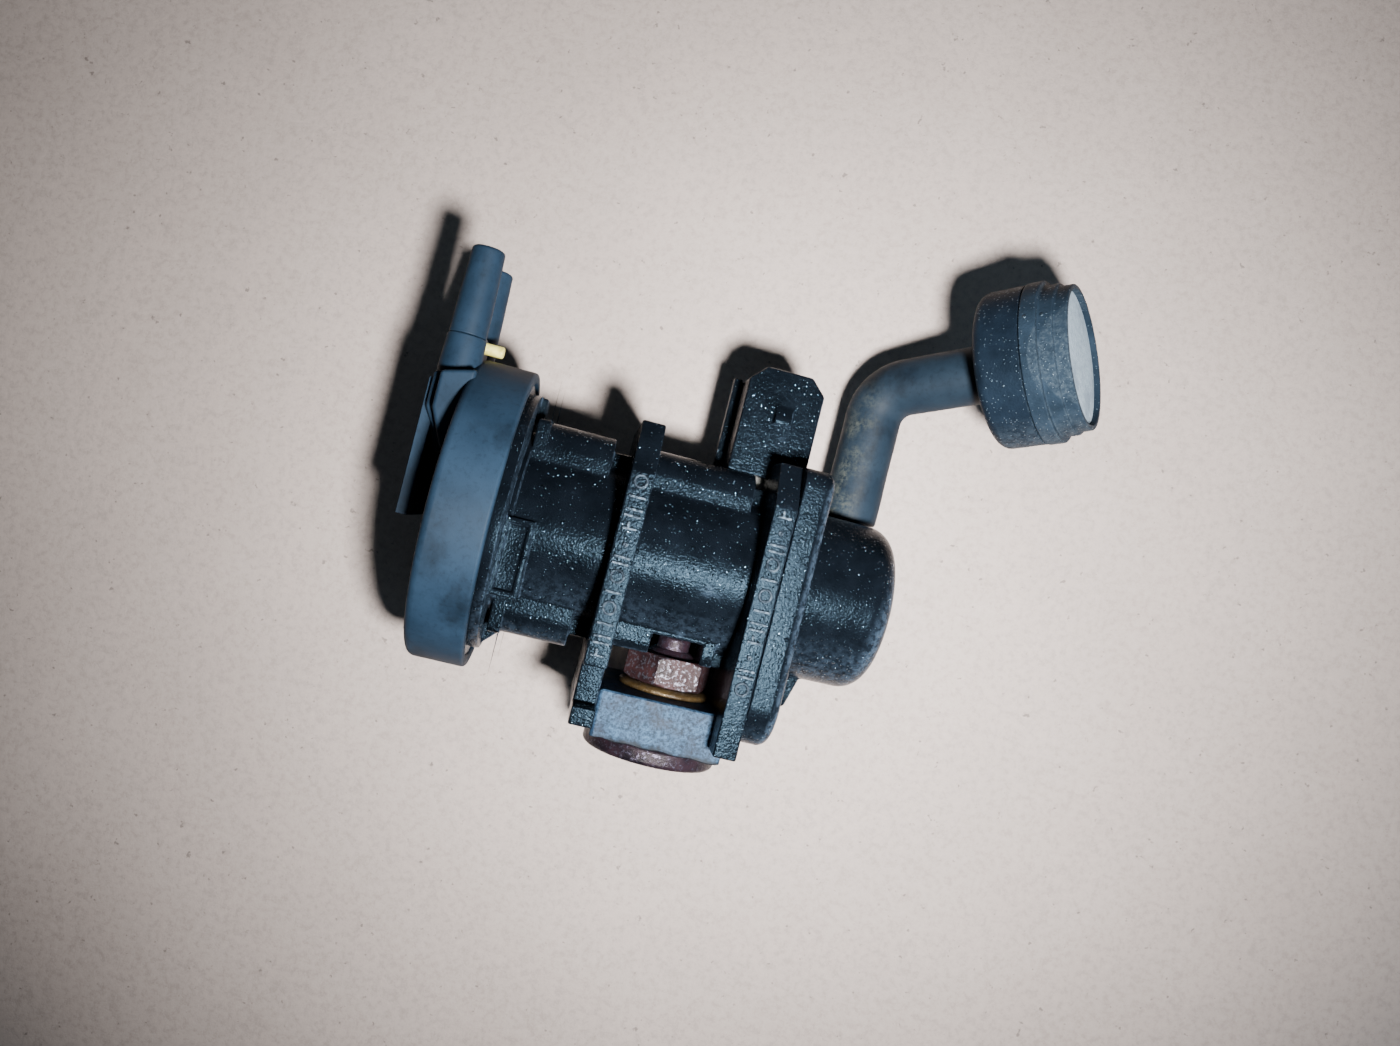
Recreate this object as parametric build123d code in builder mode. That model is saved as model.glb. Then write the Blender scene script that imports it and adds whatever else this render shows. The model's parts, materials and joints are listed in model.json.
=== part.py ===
from build123d import *
import math
import os

os.makedirs("parts", exist_ok=True)

# Millimetres. X runs along the valve's axis, from the hose ports to the dome. Y points away
# from the fixing face, which lies at Y = 0. Z is up while the valve lies on its side.
AXIS_HEIGHT = 32.4      # the valve's axis above the fixing face
AXIS = Plane(origin=(0, AXIS_HEIGHT, 0), x_dir=(0, 1, 0), z_dir=(1, 0, 0))
BOLT = Plane(origin=(0, 0, 0), x_dir=(0, 0, 1), z_dir=(0, 1, 0))

# Stations along the valve's axis.
CAP_BACK = -42.3        # closed face of the rubber port manifold
PLATE_BACK = -36.4
COLLAR_BACK = -33.2
COLLAR_FRONT = -31.4
STEP_BACK = -30.6
LOBE_BACK = -28.6
LOBE_FRONT = -17.8
FLANGE_1_BACK = -14.8
FLANGE_1_FRONT = -11.05
BARREL_FRONT = 5.8
FLANGE_2_BACK = 7.8
COVER_BACK = 11.5
COVER_FRONT = 16.5
DOME_FRONT = 32.2

# Round sizes about the valve's axis.
CAP_R = 25.0
CAP_RIM = -32.8
PLATE_R = 23.0
COLLAR_R = 21.5
BARREL_R = 14.3
BARREL_WIDTH = 34.8
BARREL_DEPTH = 18.8
LOBE_R = 4.4
COIL_BORE_R = 10.4
CAN_R = 10.2
CAN_BORE_R = 9.2
CHAMBER_R = 12.0
CHAMBER_FRONT = -30.2   # shoulder that the leaf spring's rim rests on
DOME_R = 14.2
DOME_BORE_R = 12.0
DOME_BORE_FRONT = 29.8
FLANGE_HALF_DEPTH = 19.5
FLANGE_1_TOP = 20.8
FLANGE_2_TOP = 19.8
FLANGE_BOTTOM = -26.8
BEVEL_START = 12.8
BEVEL_HALF_DEPTH = 15.0

# Hose ports, in pairs either side of the axis.
PORT_X = -44.7
PORT_Z = 8.14
PORT_BORE_R = 1.2
HOSE_PORT_R = 1.85      # open bore that takes a vacuum line
JOINER_TOP = 30.6
TUBE_TOP = 41.4
TUBE_SEAM = 27.1
NIPPLE_HEIGHT = 18.0
NIPPLE_R = 2.0

# Fixing bolt, nut and rubber block, in heights above the fixing face.
HEAD_TOP = 3.0
BLOCK_TOP = 10.9
WASHER_TOP = 12.2
NUT_TOP = 17.2
THREAD_TOP = 17.9
BOLT_END = 20.4
HEAD_R = 11.3
SHANK_R = 4.0
SLEEVE_R = 5.0
SLEEVE_BORE_R = 4.1
TIP_R = 2.75
NUT_FLATS = 13.0
WASHER_R = 7.7

# Vent line.
SPIGOT_X = 26.3
SPIGOT_Z = -9.2
SPIGOT_R = 3.2
HOSE_R = 5.0
HOSE_BORE_R = 3.25
HOSE_START = AXIS_HEIGHT + 14.6
HOSE_CORNER = Vector(SPIGOT_X, AXIS_HEIGHT + 38.8, SPIGOT_Z)
HOSE_BEND_R = 7.0
FILTER_BACK = Vector(41.8, AXIS_HEIGHT + 44.9, 3.5)
FILTER_AXIS = (FILTER_BACK - HOSE_CORNER).normalized()
FILTER = Plane(origin=FILTER_BACK, z_dir=FILTER_AXIS)
FILTER_R = 13.4
FILTER_WALL = 1.5

# Armature and its screw.
ARMATURE_BACK = -30.2
ARMATURE_THICKNESS = 1.8
ARMATURE_R = 9.0
POLE_BACK = -27.4
POLE_R = 3.6
POLE_BORE_R = 1.85
SEAT_END = -30.6
SPRING_END = -10.4
SCREW_R = 1.5


def save(builder, name):
    """Label a finished piece and write it as its own STEP file."""
    builder.part.label = name
    export_step(builder.part, f"parts/{name}.step")


def ring(start, end, outer, inner=0.0, mode=Mode.ADD, plane=AXIS):
    """A round or tubular stretch between two stations along a plane's normal."""
    with BuildSketch(plane.offset(start)) as section:
        Circle(outer)
        if inner:
            Circle(inner, mode=Mode.SUBTRACT)
    extrude(section.sketch, amount=end - start, mode=mode)


def block(low, high, mode=Mode.ADD):
    """A square-edged block between two corners, heights measured from the valve's axis."""
    size = [top - bottom for bottom, top in zip(low, high)]
    with BuildSketch(Plane.XY.offset(low[2])) as section:
        with Locations(((low[0] + high[0]) / 2, AXIS_HEIGHT + (low[1] + high[1]) / 2)):
            Rectangle(size[0], size[1])
    extrude(section.sketch, amount=size[2], mode=mode)


def lobed(start, end, corner):
    """A stretch of barrel: a round middle run through a flat slab with rounded corners."""
    with BuildSketch(AXIS.offset(start)) as section:
        RectangleRounded(BARREL_WIDTH, BARREL_DEPTH, corner)
        Circle(BARREL_R)
    extrude(section.sketch, amount=end - start)


def flange(start, end, top):
    """A mounting flange: a plate with its two upper corners bevelled."""
    with BuildSketch(AXIS.offset(start)) as section:
        with BuildLine():
            Polyline(
                (FLANGE_BOTTOM, -FLANGE_HALF_DEPTH),
                (BEVEL_START, -FLANGE_HALF_DEPTH),
                (top, -BEVEL_HALF_DEPTH),
                (top, BEVEL_HALF_DEPTH),
                (BEVEL_START, FLANGE_HALF_DEPTH),
                (FLANGE_BOTTOM, FLANGE_HALF_DEPTH),
                close=True,
            )
        make_face()
    extrude(section.sketch, amount=end - start)


# Valve housing: one black moulding with the collar, the lobed barrel, both mounting flanges
# and the bore that the coil is pushed into.
BLOCK_END = 10.4
BLOCK_HALF_DEPTH = 13.0
TONGUE_HALF_DEPTH = 9.0
TONGUE_LOW = -27.0
TONGUE_HIGH = -23.5
STUD_POCKET_CEILING = -11.6
NUT_CLEARANCE = -15.0
CARRIER_BACK = 3.4
CARRIER_FRONT = 10.9
GASKET_BACK = 11.0
GASKET_R = 14.6
GASKET_BORE_R = 13.0
CARRIER_HALF = 1.4

with BuildPart() as valve_housing:
    ring(COLLAR_BACK, COLLAR_FRONT, COLLAR_R)
    ring(COLLAR_FRONT, STEP_BACK, 15.4)
    lobed(STEP_BACK, LOBE_BACK, 0.8)
    lobed(LOBE_BACK, LOBE_FRONT, LOBE_R)
    ring(LOBE_FRONT, FLANGE_1_BACK, BARREL_R)
    block((LOBE_FRONT, -15.2, -7), (FLANGE_1_BACK, 15.2, 7))
    flange(FLANGE_1_BACK, FLANGE_1_FRONT, FLANGE_1_TOP)
    lobed(FLANGE_1_FRONT, BARREL_FRONT, LOBE_R)
    ring(BARREL_FRONT, FLANGE_2_BACK, BARREL_R)
    block((BARREL_FRONT, -15.2, -7), (FLANGE_2_BACK, 15.2, 7))
    flange(FLANGE_2_BACK, COVER_BACK, FLANGE_2_TOP)
    # A raised latch pad on the neck, with a shallow window, and a small lug over the collar.
    block((-31.6, -11, 9), (-26.9, 1.3, 15.4))
    block((-30.7, -10, 14.7), (-27.8, 0.3, 16), mode=Mode.SUBTRACT)
    block((COLLAR_FRONT, 17.0, -2.5), (-30.2, 21.2, 2.5))
    # A small stiffening fin at the collar's lower edge.
    with BuildSketch(Plane.XY.offset(-1.2)) as fin:
        with BuildLine():
            Polyline(
                (COLLAR_FRONT, AXIS_HEIGHT - 20.6),
                (-28.0, AXIS_HEIGHT - 17.2),
                (COLLAR_FRONT, AXIS_HEIGHT - 14.0),
                close=True,
            )
        make_face()
    extrude(fin.sketch, amount=2.4)
    # Coil bore, with a wider chamber at the port end.
    ring(CHAMBER_FRONT, COVER_BACK, COIL_BORE_R, mode=Mode.SUBTRACT)
    ring(COLLAR_BACK, CHAMBER_FRONT, CHAMBER_R, mode=Mode.SUBTRACT)
    # Room for the end of the fixing bolt, open towards one side of the barrel.
    block((-4.8, -20, -7), (3.7, STUD_POCKET_CEILING, 20), mode=Mode.SUBTRACT)
    block((FLANGE_1_FRONT, -20, -8.5), (FLANGE_2_BACK, NUT_CLEARANCE, 20), mode=Mode.SUBTRACT)
    # Window and notches in the first flange, and a rebate in the second, for the rubber block.
    block((FLANGE_1_BACK, TONGUE_LOW, -TONGUE_HALF_DEPTH),
          (FLANGE_1_FRONT, TONGUE_HIGH, TONGUE_HALF_DEPTH), mode=Mode.SUBTRACT)
    for side in (-1, 1):
        low = min(side * 14.5, side * 20)
        block((FLANGE_1_BACK, -23.9, low), (FLANGE_1_FRONT, -17.6, low + 5.5), mode=Mode.SUBTRACT)
    block((FLANGE_2_BACK, -27, -BLOCK_HALF_DEPTH - 0.1),
          (BLOCK_END + 0.1, -21.4, BLOCK_HALF_DEPTH + 0.1), mode=Mode.SUBTRACT)
    # Groove for the cover gasket.
    ring(GASKET_BACK, COVER_BACK, GASKET_R, GASKET_BORE_R, mode=Mode.SUBTRACT)
    # Slot that lets the terminals out to the plug socket.
    block((CARRIER_BACK, 8, -CARRIER_HALF), (CARRIER_FRONT, 21, CARRIER_HALF), mode=Mode.SUBTRACT)
save(valve_housing, "valve_housing")

# End cover: a rounded plate welded to the second flange, with the dome and the vent spigot.
with BuildPart() as end_cover:
    with BuildSketch(AXIS.offset(COVER_BACK)) as plate:
        with Locations(((FLANGE_2_TOP - 24.7) / 2, 0)):
            Rectangle(FLANGE_2_TOP + 24.7, 2 * FLANGE_HALF_DEPTH)
        fillet(plate.vertices().group_by(Axis.X)[0], 7.0)
        fillet(plate.vertices().group_by(Axis.X)[-1], 3.0)
    extrude(amount=COVER_FRONT - COVER_BACK)
    fillet(end_cover.faces().sort_by(Axis.X)[-1].edges(), 1.8)
    with BuildSketch(AXIS.offset(COVER_FRONT)):
        Circle(DOME_R)
    extrude(amount=DOME_FRONT - COVER_FRONT, taper=0.8)
    fillet(end_cover.faces().sort_by(Axis.X)[-1].edges(), 4.2)
    SPIGOT = Plane(origin=(SPIGOT_X, AXIS_HEIGHT, SPIGOT_Z), x_dir=(1, 0, 0), z_dir=(0, 1, 0))
    ring(6.0, 14.2, 4.7, plane=SPIGOT)
    ring(6.0, 23.0, SPIGOT_R, plane=SPIGOT)
    ring(COVER_BACK, DOME_BORE_FRONT, DOME_BORE_R, mode=Mode.SUBTRACT)
    ring(0.0, 23.0, 1.8, mode=Mode.SUBTRACT, plane=SPIGOT)
    # A gusset between the dome and the lower half of the plate.
    with BuildSketch(Plane.XY.offset(-1.5)) as gusset:
        with BuildLine():
            Polyline(
                (COVER_FRONT - 0.5, AXIS_HEIGHT - 13.0),
                (COVER_FRONT + 6.0, AXIS_HEIGHT - 13.0),
                (COVER_FRONT + 4.2, AXIS_HEIGHT - 19.2),
                (COVER_FRONT - 0.5, AXIS_HEIGHT - 22.0),
                close=True,
            )
        make_face()
    extrude(gusset.sketch, amount=3.0)
save(end_cover, "end_cover")

# Cover gasket: a square-section ring in a groove between the second flange and the cover.
with BuildPart() as cover_gasket:
    ring(GASKET_BACK, COVER_BACK, GASKET_R, GASKET_BORE_R)
save(cover_gasket, "cover_gasket")

# Port plate: a disc with two nipples for the rubber manifold and a hub that clamps the leaf.
with BuildPart() as port_plate:
    ring(PLATE_BACK, COLLAR_BACK, PLATE_R)
    ring(COLLAR_BACK, ARMATURE_BACK - 0.25, CHAMBER_R - 0.05, 10.3)
    for side in (-1, 1):
        nipple = Plane(origin=(PLATE_BACK, AXIS_HEIGHT + NIPPLE_HEIGHT, side * PORT_Z),
                       x_dir=(0, 1, 0), z_dir=(-1, 0, 0))
        ring(0.0, 3.4, NIPPLE_R, plane=nipple)
        ring(-1.6, 3.4, 1.0, mode=Mode.SUBTRACT, plane=nipple)
    # Passages inside the disc, from the nipples to the seat and to the armature chamber.
    ring(PLATE_BACK, COLLAR_BACK, 2.2, mode=Mode.SUBTRACT)
    block((-35.4, 6.0, -PORT_Z - 1), (-34.4, NIPPLE_HEIGHT, -PORT_Z + 1), mode=Mode.SUBTRACT)
    block((-35.4, 6.0, -PORT_Z - 1), (COLLAR_BACK, 8.0, -PORT_Z + 1), mode=Mode.SUBTRACT)
    block((-35.4, 0.0, PORT_Z - 1), (-34.4, NIPPLE_HEIGHT, PORT_Z + 1), mode=Mode.SUBTRACT)
    block((-35.4, 0.0, 2.2), (-34.4, 1.6, PORT_Z + 1), mode=Mode.SUBTRACT)
save(port_plate, "port_plate")

# Nipple seals: a thin rubber washer round the root of each nipple.
with BuildPart() as nipple_seals:
    for side in (-1, 1):
        root = Plane(origin=(PLATE_BACK, AXIS_HEIGHT + NIPPLE_HEIGHT, side * PORT_Z),
                     x_dir=(0, 1, 0), z_dir=(-1, 0, 0))
        ring(0.0, 0.8, 3.2, NIPPLE_R, plane=root)
save(nipple_seals, "nipple_seals")

# Valve seat: a brass nozzle pressed into the middle of the port plate.
with BuildPart() as valve_seat:
    ring(PLATE_BACK, SEAT_END, 2.2, 0.8)
    ring(PLATE_BACK, PLATE_BACK + 1.0, 1.5)
    with BuildSketch(Plane.XY.offset(0.5)) as cross_hole:
        with Locations((-34.9, AXIS_HEIGHT + 0.8)):
            Circle(0.45)
    extrude(cross_hole.sketch, amount=2.2, mode=Mode.SUBTRACT)
save(valve_seat, "valve_seat")

# Port manifold: a rubber cap over the port plate, with two stub bosses, a bridge between
# them and a finger tab for pulling the whole connector off.
TAB_BACK = -48.6
TAB_FRONT = -46.8
TAB_HALF = 9.5
TAB_LOW = -2.6
TAB_HIGH = 21.0
with BuildPart() as port_manifold:
    ring(CAP_BACK, CAP_RIM, CAP_R)
    fillet(port_manifold.edges().group_by(Axis.X)[0], 1.2)
    fillet(port_manifold.edges().group_by(Axis.X)[-1], 0.5)
    for side in (-1, 1):
        stub = Plane(origin=(PORT_X, AXIS_HEIGHT, side * PORT_Z), x_dir=(1, 0, 0), z_dir=(0, 1, 0))
        ring(21.8, TUBE_SEAM, 3.35, plane=stub)
        with Locations((PORT_X, AXIS_HEIGHT + 21.8, side * PORT_Z)):
            Sphere(3.35)
    block((-46.6, 20.0, 3 - PORT_Z), (-42.6, 28.6, PORT_Z - 3))
    with BuildSketch(AXIS.offset(TAB_BACK)) as tab:
        with Locations(((TAB_LOW + TAB_HIGH) / 2, 0)):
            RectangleRounded(TAB_HIGH - TAB_LOW, 2 * TAB_HALF, 3.5)
    extrude(tab.sketch, amount=TAB_FRONT - TAB_BACK)
    # A solid root under the stubs, which ties the tab to the cap, and a wider pad over it.
    for root_half, low_edge, low_reach, high_reach in ((9.2, 8.2, -45.5, -47.0), (11.3, 8.8, -44.3, -46.6)):
        with BuildSketch(Plane.XY.offset(-root_half)) as root:
            with BuildLine():
                Polyline(
                    (CAP_BACK + 1.5, AXIS_HEIGHT + low_edge),
                    (low_reach, AXIS_HEIGHT + low_edge),
                    (high_reach, AXIS_HEIGHT + 14.6),
                    (high_reach, AXIS_HEIGHT + 20.4),
                    (CAP_BACK + 1.5, AXIS_HEIGHT + 21.8),
                    close=True,
                )
            make_face()
        extrude(root.sketch, amount=2 * root_half)
    # Hollow that takes the port plate, and the sockets and passages for the nipples.
    ring(PLATE_BACK - 0.8, CAP_RIM, PLATE_R + 0.06, mode=Mode.SUBTRACT)
    for side in (-1, 1):
        stub = Plane(origin=(PORT_X, AXIS_HEIGHT, side * PORT_Z), x_dir=(1, 0, 0), z_dir=(0, 1, 0))
        ring(21.6, TUBE_SEAM, PORT_BORE_R, mode=Mode.SUBTRACT, plane=stub)
        socket = Plane(origin=(PLATE_BACK, AXIS_HEIGHT + NIPPLE_HEIGHT, side * PORT_Z),
                       x_dir=(0, 1, 0), z_dir=(-1, 0, 0))
        ring(0.5, 3.9, NIPPLE_R + 0.06, mode=Mode.SUBTRACT, plane=socket)
        corner = Vector(PORT_X, AXIS_HEIGHT + 22.0, side * PORT_Z)
        mouth = Vector(PLATE_BACK - 3.5, AXIS_HEIGHT + NIPPLE_HEIGHT, side * PORT_Z)
        slant = Plane(origin=mouth, z_dir=(corner - mouth).normalized())
        ring(0.0, (corner - mouth).length, 1.1, mode=Mode.SUBTRACT, plane=slant)
    # Blind hole in the bridge for the yellow restrictor.
    pin_hole = Plane(origin=(-42.6, AXIS_HEIGHT + 26.9, 0), x_dir=(0, 1, 0), z_dir=(-1, 0, 0))
    ring(0.0, 2.2, 1.0, mode=Mode.SUBTRACT, plane=pin_hole)
save(port_manifold, "port_manifold")

# Hose sleeves: two tapered rubber tubes that stand on the stub bosses.
for name, side in (("vacuum_tube_upper", 1), ("vacuum_tube_lower", -1)):
    stub = Plane(origin=(PORT_X, AXIS_HEIGHT, side * PORT_Z), x_dir=(1, 0, 0), z_dir=(0, 1, 0))
    with BuildPart() as vacuum_tube:
        with BuildSketch(stub.offset(TUBE_SEAM)) as foot:
            Circle(2.95)
        extrude(foot.sketch, amount=TUBE_TOP - TUBE_SEAM, taper=1.4)
        fillet(vacuum_tube.edges().group_by(Axis.Y)[-1], 0.7)
        ring(TUBE_SEAM, JOINER_TOP, PORT_BORE_R, mode=Mode.SUBTRACT, plane=stub)
        ring(JOINER_TOP, TUBE_TOP, HOSE_PORT_R, mode=Mode.SUBTRACT, plane=stub)
    save(vacuum_tube, name)

# Tube joiners: a short hard tube inside each seam, half in the stub and half in the sleeve.
with BuildPart() as tube_joiners:
    for side in (-1, 1):
        stub = Plane(origin=(PORT_X, AXIS_HEIGHT, side * PORT_Z), x_dir=(1, 0, 0), z_dir=(0, 1, 0))
        ring(TUBE_SEAM - 3.5, JOINER_TOP, PORT_BORE_R, 0.7, plane=stub)
save(tube_joiners, "tube_joiners")

# Restrictor pin: a yellow plastic pin with a fine bore, pushed into the bridge.
with BuildPart() as restrictor_pin:
    pin = Plane(origin=(-44.8, AXIS_HEIGHT + 26.9, 0), x_dir=(0, 1, 0), z_dir=(1, 0, 0))
    ring(0.0, 5.4, 1.0, plane=pin)
    fillet(restrictor_pin.edges().group_by(Axis.X)[-1], 0.4)
    ring(1.0, 5.4, 0.3, mode=Mode.SUBTRACT, plane=pin)
save(restrictor_pin, "restrictor_pin")

# Plug socket: the two-way electrical shroud with its lock bump and side rib.
SOCKET_BACK = 0.9
SOCKET_FRONT = 13.9
SOCKET_HALF = 5.5
SOCKET_TOP = 35.5
SOCKET_FLOOR = 23.5
SOCKET_WALL = 1.4
with BuildPart() as plug_socket:
    with BuildSketch(Plane.XY.offset(-SOCKET_HALF)) as outline:
        with BuildLine():
            Polyline(
                (SOCKET_BACK, AXIS_HEIGHT + BARREL_WIDTH / 2),
                (SOCKET_BACK, AXIS_HEIGHT + SOCKET_TOP - 2.6),
                (SOCKET_BACK + 2.6, AXIS_HEIGHT + SOCKET_TOP),
                (SOCKET_FRONT - 2.6, AXIS_HEIGHT + SOCKET_TOP),
                (SOCKET_FRONT, AXIS_HEIGHT + SOCKET_TOP - 2.6),
                (SOCKET_FRONT, AXIS_HEIGHT + FLANGE_2_TOP),
                (FLANGE_2_BACK, AXIS_HEIGHT + FLANGE_2_TOP),
                (FLANGE_2_BACK, AXIS_HEIGHT + BARREL_WIDTH / 2),
                close=True,
            )
        make_face()
    extrude(outline.sketch, amount=2 * SOCKET_HALF)
    block((SOCKET_BACK - 1.5, 17.4, -4.6), (SOCKET_BACK, 33.6, -3.0))
    block((SOCKET_BACK + SOCKET_WALL, SOCKET_FLOOR, -SOCKET_HALF + SOCKET_WALL),
          (SOCKET_FRONT - SOCKET_WALL, SOCKET_TOP, SOCKET_HALF - SOCKET_WALL), mode=Mode.SUBTRACT)
    block((CARRIER_BACK, 17, -CARRIER_HALF), (CARRIER_FRONT, 24, CARRIER_HALF), mode=Mode.SUBTRACT)
    # Lock bump: a square catch with a ramp below the mouth.
    with BuildSketch(Plane.YZ.offset(6.4)) as ramp:
        with BuildLine():
            Polyline(
                (AXIS_HEIGHT + 26.5, SOCKET_HALF - 0.2),
                (AXIS_HEIGHT + 26.5, SOCKET_HALF + 1.3),
                (AXIS_HEIGHT + 27.6, SOCKET_HALF + 1.3),
                (AXIS_HEIGHT + 29.9, SOCKET_HALF - 0.2),
                close=True,
            )
        make_face()
    extrude(ramp.sketch, amount=2.9)
save(plug_socket, "plug_socket")

# Terminal carrier: the plastic foot that brings both blades out of the coil.
TERMINAL_STATIONS = (5.0, 9.4)
BLADE_HALF = 0.75
BLADE_TOP = 30.4
with BuildPart() as terminal_carrier:
    block((CARRIER_BACK, 10.6, -CARRIER_HALF), (CARRIER_FRONT, SOCKET_FLOOR, CARRIER_HALF))
    for station in TERMINAL_STATIONS:
        block((station - BLADE_HALF, 10, -0.4), (station + BLADE_HALF, 24, 0.4), mode=Mode.SUBTRACT)
save(terminal_carrier, "terminal_carrier")

# Terminal blades: two flat tinned blades with tapered ends.
with BuildPart() as terminal_blades:
    for station in TERMINAL_STATIONS:
        block((station - BLADE_HALF, 10.6, -0.4), (station + BLADE_HALF, BLADE_TOP, 0.4))
    chamfer(terminal_blades.edges().group_by(Axis.Y)[-1].filter_by(Axis.Z), 0.4)
save(terminal_blades, "terminal_blades")

# Flux can: the steel tube round the coil, slotted where the terminals leave.
CAN_BACK = -27.6
CAN_FRONT = 8.6
with BuildPart() as flux_can:
    ring(CAN_BACK, CAN_FRONT, CAN_R, CAN_BORE_R)
save(flux_can, "flux_can")

# Coil bobbin: a flanged plastic spool on the pole piece.
BOBBIN_FRONT = 8.4
with BuildPart() as coil_bobbin:
    ring(POLE_BACK, BOBBIN_FRONT, 4.6, POLE_R)
    ring(POLE_BACK, POLE_BACK + 1.2, CAN_BORE_R - 0.1, 4.6)
    ring(BOBBIN_FRONT - 1.2, BOBBIN_FRONT, CAN_BORE_R - 0.1, 4.6)
save(coil_bobbin, "coil_bobbin")

# Coil winding: enamelled copper wire, as one solid ring.
with BuildPart() as coil_winding:
    ring(POLE_BACK + 1.2, BOBBIN_FRONT - 1.2, 8.6, 4.6)
save(coil_winding, "coil_winding")

# Pole piece: a steel core with an end disc, bored for the spring and threaded for the screw.
POLE_THREAD_BACK = 5.0
POLE_FRONT = 11.0
with BuildPart() as pole_piece:
    ring(POLE_BACK, CAN_FRONT, POLE_R)
    ring(CAN_FRONT, POLE_FRONT, CAN_R)
    ring(POLE_BACK, POLE_THREAD_BACK, POLE_BORE_R, mode=Mode.SUBTRACT)
    ring(POLE_THREAD_BACK, POLE_FRONT, SCREW_R + 0.06, mode=Mode.SUBTRACT)
    # Vent slots in the end disc, which let air through to the dome.
    for angle in (60, 180, 300):
        reach = 7.6
        height = reach * math.cos(math.radians(angle))
        depth = reach * math.sin(math.radians(angle))
        hole = Plane(origin=(0, AXIS_HEIGHT + height, depth), x_dir=(0, 1, 0), z_dir=(1, 0, 0))
        ring(CAN_FRONT, POLE_FRONT, 1.2, mode=Mode.SUBTRACT, plane=hole)
save(pole_piece, "pole_piece")

# Armature: a thin steel disc that the coil pulls away from the seat.
with BuildPart() as armature:
    ring(ARMATURE_BACK, ARMATURE_BACK + ARMATURE_THICKNESS, ARMATURE_R)
    for angle in range(0, 360, 90):
        height = 6.0 * math.cos(math.radians(angle))
        depth = 6.0 * math.sin(math.radians(angle))
        hole = Plane(origin=(0, AXIS_HEIGHT + height, depth), x_dir=(0, 1, 0), z_dir=(1, 0, 0))
        ring(ARMATURE_BACK, ARMATURE_BACK + ARMATURE_THICKNESS, 0.9, mode=Mode.SUBTRACT, plane=hole)
save(armature, "armature")

# Valve pad: the soft disc on the armature that closes the seat.
with BuildPart() as valve_pad:
    ring(ARMATURE_BACK - 0.35, ARMATURE_BACK, 2.4)
save(valve_pad, "valve_pad")

# Leaf spring: a thin steel disc with curved slots, clamped at its rim, that centres the armature.
with BuildPart() as leaf_spring:
    ring(ARMATURE_BACK - 0.2, ARMATURE_BACK - 0.0, CHAMBER_R - 0.1, 2.7)
    for angle in range(0, 360, 120):
        with BuildSketch(AXIS.offset(ARMATURE_BACK - 0.2)) as slot:
            with Locations(Rotation(0, 0, angle)):
                SlotArc(CenterArc((0, 0), 6.5, 0, 95), 1.2)
        extrude(slot.sketch, amount=0.2, mode=Mode.SUBTRACT)
save(leaf_spring, "leaf_spring")

# Bias spring: a compression spring in the pole piece's bore, between armature and spring seat.
SPRING_WIRE_R = 0.18
SPRING_R = 1.4
SPRING_BACK = ARMATURE_BACK + ARMATURE_THICKNESS
SPRING_TURNS = 11
with BuildPart() as bias_spring:
    spring_run = SPRING_END - SPRING_BACK - 2 * SPRING_WIRE_R
    with BuildLine() as coil_path:
        Helix(spring_run / SPRING_TURNS, spring_run, SPRING_R,
              center=(SPRING_BACK + SPRING_WIRE_R, AXIS_HEIGHT, 0), direction=(1, 0, 0))
    with BuildSketch(Plane(origin=coil_path.line @ 0, z_dir=coil_path.line % 0)):
        Circle(SPRING_WIRE_R)
    sweep(is_frenet=True)
save(bias_spring, "bias_spring")

# Spring seat: a small cup that the adjusting screw pushes along the bore.
with BuildPart() as spring_seat:
    ring(SPRING_END, SPRING_END + 2.4, POLE_BORE_R - 0.08)
save(spring_seat, "spring_seat")

# Adjusting screw: sets the spring's load, and is reached from inside the dome at assembly.
SCREW_BACK = SPRING_END + 2.4
SCREW_FRONT = 14.0
with BuildPart() as adjusting_screw:
    ring(SCREW_BACK, SCREW_FRONT, SCREW_R)
    ring(12.4, SCREW_FRONT, 2.4)
    block((SCREW_FRONT - 0.8, -3, -0.3), (SCREW_FRONT, 3, 0.3), mode=Mode.SUBTRACT)
save(adjusting_screw, "adjusting_screw")

# Isolator block: the rubber block that the flanges hold, with a tongue in the first flange.
HEAD_TOP_FROM_AXIS = HEAD_TOP - AXIS_HEIGHT
BLOCK_TOP_FROM_AXIS = BLOCK_TOP - AXIS_HEIGHT
with BuildPart() as isolator_block:
    block((FLANGE_1_FRONT, HEAD_TOP_FROM_AXIS, -BLOCK_HALF_DEPTH),
          (BLOCK_END, BLOCK_TOP_FROM_AXIS, BLOCK_HALF_DEPTH))
    fillet(isolator_block.edges(), 0.6)
    block((FLANGE_1_BACK, TONGUE_LOW + 0.05, -TONGUE_HALF_DEPTH + 0.05),
          (FLANGE_1_FRONT + 1, TONGUE_HIGH - 0.05, TONGUE_HALF_DEPTH - 0.05))
    ring(HEAD_TOP, BLOCK_TOP, SLEEVE_R, mode=Mode.SUBTRACT, plane=BOLT)
save(isolator_block, "isolator_block")

# Spacer sleeve: a steel tube through the block, which takes the bolt's clamping load.
with BuildPart() as spacer_sleeve:
    ring(HEAD_TOP, BLOCK_TOP, SLEEVE_R, SLEEVE_BORE_R, plane=BOLT)
save(spacer_sleeve, "spacer_sleeve")

# Fixing bolt: a broad round head, a threaded shank and a plain dog point.
with BuildPart() as fixing_bolt:
    ring(0.0, HEAD_TOP, HEAD_R, plane=BOLT)
    fillet(fixing_bolt.edges().group_by(Axis.Y)[0], 0.9)
    ring(HEAD_TOP, THREAD_TOP, SHANK_R, plane=BOLT)
    ring(THREAD_TOP, BOLT_END, TIP_R, plane=BOLT)
    chamfer(fixing_bolt.edges().group_by(Axis.Y)[-1], 0.4)
save(fixing_bolt, "fixing_bolt")

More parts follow.
